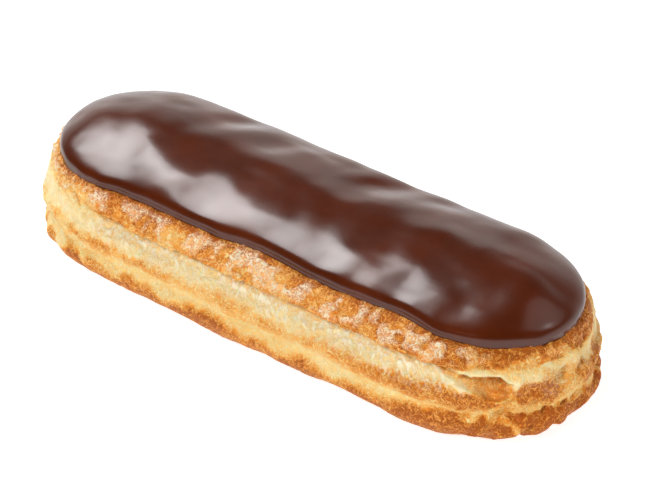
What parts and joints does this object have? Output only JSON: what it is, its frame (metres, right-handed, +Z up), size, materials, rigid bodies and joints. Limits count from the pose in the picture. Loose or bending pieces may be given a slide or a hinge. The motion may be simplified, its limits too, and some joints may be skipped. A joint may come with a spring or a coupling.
{
  "type": "chocolate eclair",
  "caption": "Oblong baked choux bun with rounded ends and a thick cap of glossy dark chocolate icing, which rests on its flat base.",
  "frame": {"origin": "centre of the flat base, under the middle of the bun", "axes": "+X along the bun, +Y across it, +Z up through the icing"},
  "size_m": [0.135, 0.0498, 0.0288],
  "materials": {
    "choux_crust": "baked choux crust, matt and finely cracked, golden brown on the upper crust and ridges and pale yellow where it split and rose",
    "chocolate_icing": "set chocolate icing, smooth and glossy, dark reddish brown"
  },
  "bodies": {
    "root": {"choux_bun": "choux_crust", "chocolate_icing": "chocolate_icing"}
  },
  "joints": []
}
